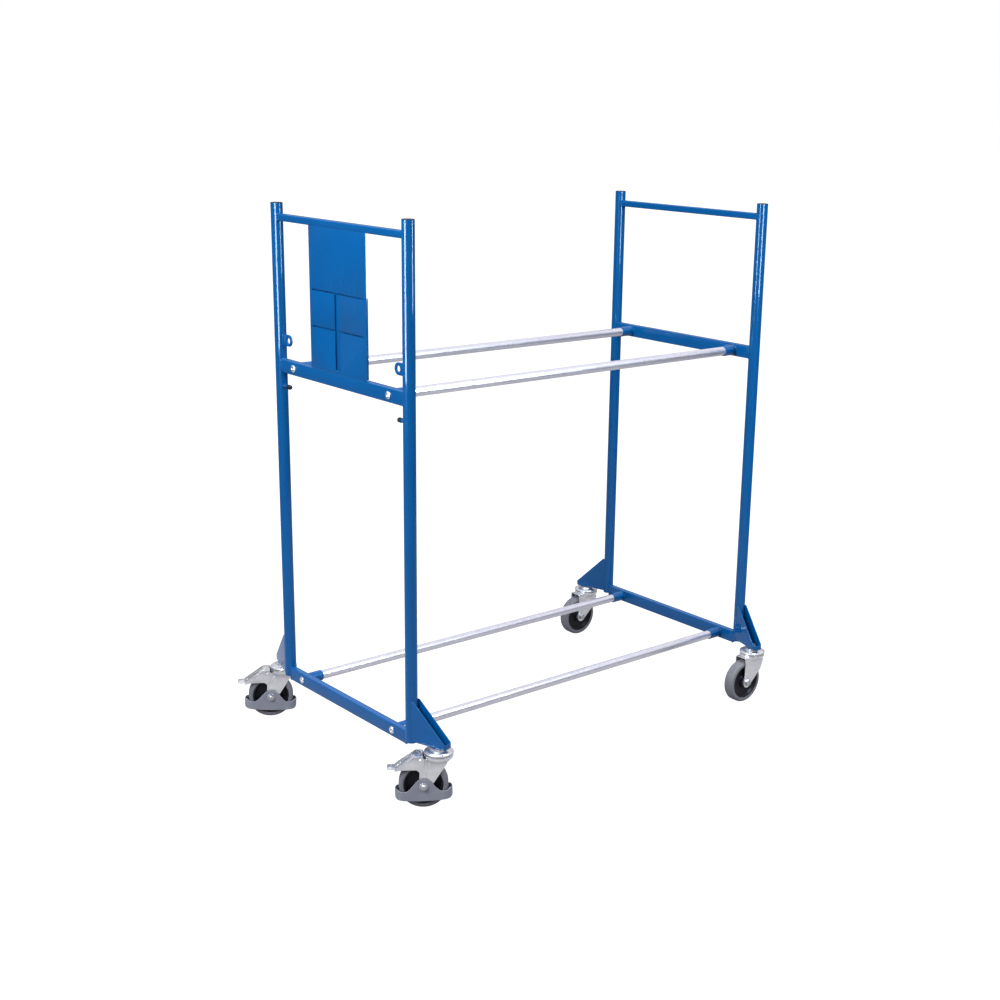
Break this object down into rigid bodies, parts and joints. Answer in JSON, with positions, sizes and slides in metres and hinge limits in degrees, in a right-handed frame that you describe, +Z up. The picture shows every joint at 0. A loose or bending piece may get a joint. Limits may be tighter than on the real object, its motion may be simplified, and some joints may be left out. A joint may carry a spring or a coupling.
{
  "type": "tyre trolley",
  "caption": "Tall tyre trolley: two end frames with round posts, paired cross tubes on two levels, a document holder and swivel castors, some with foot brakes.",
  "frame": {"origin": "on the floor, midway between the four posts", "axes": "+Z up, +X along the cross tubes away from the end frame that carries the document holder, +Y across the trolley to its far side"},
  "size_m": [1.4748, 0.9626, 1.62],
  "materials": {
    "blue_paint": "glossy powder coat",
    "galvanised_tube": "galvanised, satin",
    "bright_zinc": "bright zinc plate",
    "tyre_grey": "matt",
    "hub_black": "gloss",
    "guard_grey": "matt",
    "black_cap": "satin",
    "shoe_rubber": "matt"
  },
  "bodies": {
    "frame": {"post_left_near": "blue_paint", "post_left_far": "blue_paint", "post_right_near": "blue_paint", "post_right_far": "blue_paint", "post_plugs": "black_cap", "top_rail_left": "blue_paint", "top_rail_right": "blue_paint", "mid_rail_left": "blue_paint", "mid_rail_right": "blue_paint", "bottom_rail_left": "blue_paint", "bottom_rail_right": "blue_paint", "castor_bracket_left_near": "blue_paint", "castor_bracket_left_far": "blue_paint", "castor_bracket_right_near": "blue_paint", "castor_bracket_right_far": "blue_paint", "document_back": "blue_paint", "document_rear_pocket": "blue_paint", "document_front_pocket": "blue_paint", "strap_lugs": "blue_paint", "strap_pegs": "blue_paint", "peg_caps": "black_cap", "tube_sleeves": "blue_paint", "cross_tube_upper_near": "galvanised_tube", "cross_tube_upper_far": "galvanised_tube", "cross_tube_lower_near": "galvanised_tube", "cross_tube_lower_far": "galvanised_tube", "tube_inserts": "bright_zinc", "tube_screws": "bright_zinc", "castor_bolts": "bright_zinc", "swivel_head_left_near": "bright_zinc", "swivel_head_left_far": "bright_zinc", "swivel_head_right_near": "bright_zinc", "swivel_head_right_far": "bright_zinc", "swivel_balls": "bright_zinc"},
    "fork_body_left_near": {"fork_left_near": "bright_zinc", "axle_left_near": "bright_zinc", "foot_guard_left_near": "guard_grey"},
    "wheel_body_left_near": {"hub_left_near": "hub_black", "tyre_left_near": "tyre_grey", "wheel_bearings_left_near": "bright_zinc"},
    "pedal_body_left_near": {"brake_pedal_left_near": "bright_zinc", "brake_shoe_left_near": "shoe_rubber"},
    "fork_body_left_far": {"fork_left_far": "bright_zinc", "axle_left_far": "bright_zinc", "foot_guard_left_far": "guard_grey"},
    "wheel_body_left_far": {"hub_left_far": "hub_black", "tyre_left_far": "tyre_grey", "wheel_bearings_left_far": "bright_zinc"},
    "pedal_body_left_far": {"brake_pedal_left_far": "bright_zinc", "brake_shoe_left_far": "shoe_rubber"},
    "fork_body_right_near": {"fork_right_near": "bright_zinc", "axle_right_near": "bright_zinc"},
    "wheel_body_right_near": {"hub_right_near": "hub_black", "tyre_right_near": "tyre_grey", "wheel_bearings_right_near": "bright_zinc"},
    "fork_body_right_far": {"fork_right_far": "bright_zinc", "axle_right_far": "bright_zinc"},
    "wheel_body_right_far": {"hub_right_far": "hub_black", "tyre_right_far": "tyre_grey", "wheel_bearings_right_far": "bright_zinc"}
  },
  "joints": [
    {"name": "swivel_left_near", "type": "hinge", "parent": "frame", "child": "fork_body_left_near", "pos_m": [-0.64723, -0.41585, 0.16], "axis": [0, 0, 1], "continuous": true},
    {"name": "swivel_left_far", "type": "hinge", "parent": "frame", "child": "fork_body_left_far", "pos_m": [-0.64723, 0.41585, 0.16], "axis": [0, 0, 1], "continuous": true},
    {"name": "swivel_right_near", "type": "hinge", "parent": "frame", "child": "fork_body_right_near", "pos_m": [0.64723, -0.41585, 0.16], "axis": [0, 0, 1], "continuous": true},
    {"name": "swivel_right_far", "type": "hinge", "parent": "frame", "child": "fork_body_right_far", "pos_m": [0.64723, 0.41585, 0.16], "axis": [0, 0, 1], "continuous": true},
    {"name": "wheel_spin_left_near", "type": "hinge", "parent": "fork_body_left_near", "child": "wheel_body_left_near", "pos_m": [-0.68201, -0.39057, 0.07], "axis": [-0.5878, -0.809, 0], "continuous": true},
    {"name": "wheel_spin_left_far", "type": "hinge", "parent": "fork_body_left_far", "child": "wheel_body_left_far", "pos_m": [-0.68446, 0.43735, 0.07], "axis": [-0.5, -0.866, 0], "continuous": true},
    {"name": "wheel_spin_right_near", "type": "hinge", "parent": "fork_body_right_near", "child": "wheel_body_right_near", "pos_m": [0.60423, -0.41585, 0.07], "axis": [0, -1, 0], "continuous": true},
    {"name": "wheel_spin_right_far", "type": "hinge", "parent": "fork_body_right_far", "child": "wheel_body_right_far", "pos_m": [0.60423, 0.41585, 0.07], "axis": [0, -1, 0], "continuous": true},
    {"name": "brake_pedal_press_left_near", "type": "hinge", "parent": "fork_body_left_near", "child": "pedal_body_left_near", "pos_m": [-0.68768, -0.38646, 0.148], "axis": [-0.5878, -0.809, 0], "range_deg": [0, 8.5]},
    {"name": "brake_pedal_press_left_far", "type": "hinge", "parent": "fork_body_left_far", "child": "pedal_body_left_far", "pos_m": [-0.69053, 0.44085, 0.148], "axis": [-0.5, -0.866, 0], "range_deg": [0, 8.5]}
  ]
}
